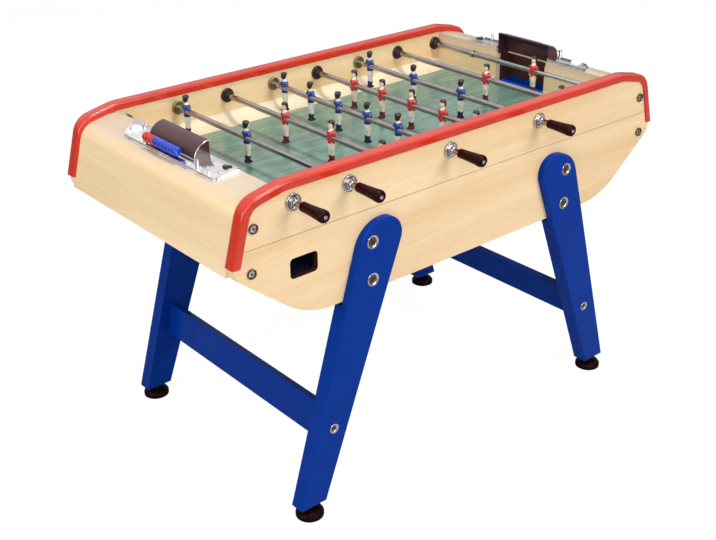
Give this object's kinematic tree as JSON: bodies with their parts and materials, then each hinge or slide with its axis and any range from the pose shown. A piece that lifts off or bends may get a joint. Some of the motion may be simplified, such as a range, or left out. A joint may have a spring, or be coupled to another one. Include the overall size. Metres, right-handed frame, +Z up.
{
  "type": "foosball table",
  "caption": "Foosball table: pale wood cabinet with bent ends, red capping rails, splayed blue legs, and sliding, turning rods of painted figures over a green field.",
  "frame": {"origin": "on the floor, under the middle of the table", "axes": "+X along the cabinet towards the red goal, +Z up, -Y the long side with the blue team's grips and the ball hole"},
  "size_m": [1.48, 0.996, 0.954],
  "materials": {
    "clear_wood": "pale veneered plywood, clear satin lacquer",
    "bank_cream": "cream laminate",
    "rail_red": "glossy red moulding",
    "field_green": "green linoleum with faint streaks",
    "leg_blue": "wood, glossy royal blue lacquer",
    "chrome": "polished chrome plate",
    "rod_steel": "bright drawn steel",
    "plate_alloy": "cast aluminium, polished face",
    "hood_brown": "smoked brown moulding",
    "goal_blue": "blue goal lining",
    "brass": "dull brass",
    "grip_black": "near-black moulding",
    "foot_black": "black moulding",
    "team_blue": "cast figures, painted blue shirts and cream shorts",
    "team_red": "cast figures, painted red shirts and cream shorts",
    "bead_blue": "glossy beads, three of each row red",
    "ball_white": "white ball",
    "bolt_steel": "zinc plated steel"
  },
  "bodies": {
    "cabinet": {"side_panel_near": "clear_wood", "side_panel_far": "clear_wood", "end_panel_left": "clear_wood", "end_panel_right": "clear_wood", "top_rails": "rail_red", "playfield": "field_green", "field_banks": "bank_cream", "cabinet_bottom": "clear_wood", "goal_boxes": "goal_blue", "goal_hoods": "hood_brown", "score_plates": "plate_alloy", "score_wires": "rod_steel", "ball_chute": "clear_wood", "leg_near_left": "leg_blue", "leg_near_right": "leg_blue", "leg_far_left": "leg_blue", "leg_far_right": "leg_blue", "stretchers": "leg_blue", "cabinet_bolts": "bolt_steel", "rod_bearings": "chrome", "core_sockets": "brass", "game_balls": "ball_white"},
    "core_1": {"rod_1_core": "rod_steel"},
    "rod_1": {"rod_1_tube": "chrome", "rod_1_figures": "team_blue", "rod_1_handle": "grip_black"},
    "core_2": {"rod_2_core": "rod_steel"},
    "rod_2": {"rod_2_tube": "chrome", "rod_2_figures": "team_blue", "rod_2_handle": "grip_black"},
    "core_3": {"rod_3_core": "rod_steel"},
    "rod_3": {"rod_3_tube": "chrome", "rod_3_figures": "team_red", "rod_3_handle": "grip_black"},
    "core_4": {"rod_4_core": "rod_steel"},
    "rod_4": {"rod_4_tube": "chrome", "rod_4_figures": "team_blue", "rod_4_handle": "grip_black"},
    "core_5": {"rod_5_core": "rod_steel"},
    "rod_5": {"rod_5_tube": "chrome", "rod_5_figures": "team_red", "rod_5_handle": "grip_black"},
    "core_6": {"rod_6_core": "rod_steel"},
    "rod_6": {"rod_6_tube": "chrome", "rod_6_figures": "team_blue", "rod_6_handle": "grip_black"},
    "core_7": {"rod_7_core": "rod_steel"},
    "rod_7": {"rod_7_tube": "chrome", "rod_7_figures": "team_red", "rod_7_handle": "grip_black"},
    "core_8": {"rod_8_core": "rod_steel"},
    "rod_8": {"rod_8_tube": "chrome", "rod_8_figures": "team_red", "rod_8_handle": "grip_black"},
    "levelling_near_left": {"foot_near_left": "foot_black"},
    "levelling_near_right": {"foot_near_right": "foot_black"},
    "levelling_far_left": {"foot_far_left": "foot_black"},
    "levelling_far_right": {"foot_far_right": "foot_black"},
    "beads_left": {"score_beads_left": "bead_blue"},
    "beads_right": {"score_beads_right": "bead_blue"}
  },
  "joints": [
    {"name": "rod_1_spin", "type": "hinge", "parent": "cabinet", "child": "core_1", "pos_m": [-0.567, 0, 0.878], "axis": [0, 1, 0], "continuous": true},
    {"name": "rod_1_slide", "type": "slide", "parent": "core_1", "child": "rod_1", "axis": [0, 1, 0], "range_m": [-0.15, 0.005]},
    {"name": "rod_2_spin", "type": "hinge", "parent": "cabinet", "child": "core_2", "pos_m": [-0.405, 0, 0.878], "axis": [0, 1, 0], "continuous": true},
    {"name": "rod_2_slide", "type": "slide", "parent": "core_2", "child": "rod_2", "axis": [0, 1, 0], "range_m": [-0.345, 0.009]},
    {"name": "rod_3_spin", "type": "hinge", "parent": "cabinet", "child": "core_3", "pos_m": [-0.243, 0, 0.878], "axis": [0, 1, 0], "continuous": true},
    {"name": "rod_3_slide", "type": "slide", "parent": "core_3", "child": "rod_3", "axis": [0, 1, 0], "range_m": [-0.004, 0.236]},
    {"name": "rod_4_spin", "type": "hinge", "parent": "cabinet", "child": "core_4", "pos_m": [-0.081, 0, 0.878], "axis": [0, 1, 0], "continuous": true},
    {"name": "rod_4_slide", "type": "slide", "parent": "core_4", "child": "rod_4", "axis": [0, 1, 0], "range_m": [-0.129, 0.011]},
    {"name": "rod_5_spin", "type": "hinge", "parent": "cabinet", "child": "core_5", "pos_m": [0.081, 0, 0.878], "axis": [0, 1, 0], "continuous": true},
    {"name": "rod_5_slide", "type": "slide", "parent": "core_5", "child": "rod_5", "axis": [0, 1, 0], "range_m": [-0.001, 0.139]},
    {"name": "rod_6_spin", "type": "hinge", "parent": "cabinet", "child": "core_6", "pos_m": [0.243, 0, 0.878], "axis": [0, 1, 0], "continuous": true},
    {"name": "rod_6_slide", "type": "slide", "parent": "core_6", "child": "rod_6", "axis": [0, 1, 0], "range_m": [-0.223, 0.017]},
    {"name": "rod_7_spin", "type": "hinge", "parent": "cabinet", "child": "core_7", "pos_m": [0.405, 0, 0.878], "axis": [0, 1, 0], "continuous": true},
    {"name": "rod_7_slide", "type": "slide", "parent": "core_7", "child": "rod_7", "axis": [0, 1, 0], "range_m": [-0.001, 0.353]},
    {"name": "rod_8_spin", "type": "hinge", "parent": "cabinet", "child": "core_8", "pos_m": [0.567, 0, 0.878], "axis": [0, 1, 0], "continuous": true},
    {"name": "rod_8_slide", "type": "slide", "parent": "core_8", "child": "rod_8", "axis": [0, 1, 0], "range_m": [-0.005, 0.15]},
    {"name": "foot_near_left_height", "type": "slide", "parent": "cabinet", "child": "levelling_near_left", "axis": [0, 0, 1], "range_m": [-0.02, 0.01]},
    {"name": "foot_near_right_height", "type": "slide", "parent": "cabinet", "child": "levelling_near_right", "axis": [0, 0, 1], "range_m": [-0.02, 0.01]},
    {"name": "foot_far_left_height", "type": "slide", "parent": "cabinet", "child": "levelling_far_left", "axis": [0, 0, 1], "range_m": [-0.02, 0.01]},
    {"name": "foot_far_right_height", "type": "slide", "parent": "cabinet", "child": "levelling_far_right", "axis": [0, 0, 1], "range_m": [-0.02, 0.01]},
    {"name": "beads_left_slide", "type": "slide", "parent": "cabinet", "child": "beads_left", "axis": [0, -1, 0], "range_m": [0, 0.07]},
    {"name": "beads_right_slide", "type": "slide", "parent": "cabinet", "child": "beads_right", "axis": [0, -1, 0], "range_m": [0, 0.07]}
  ]
}
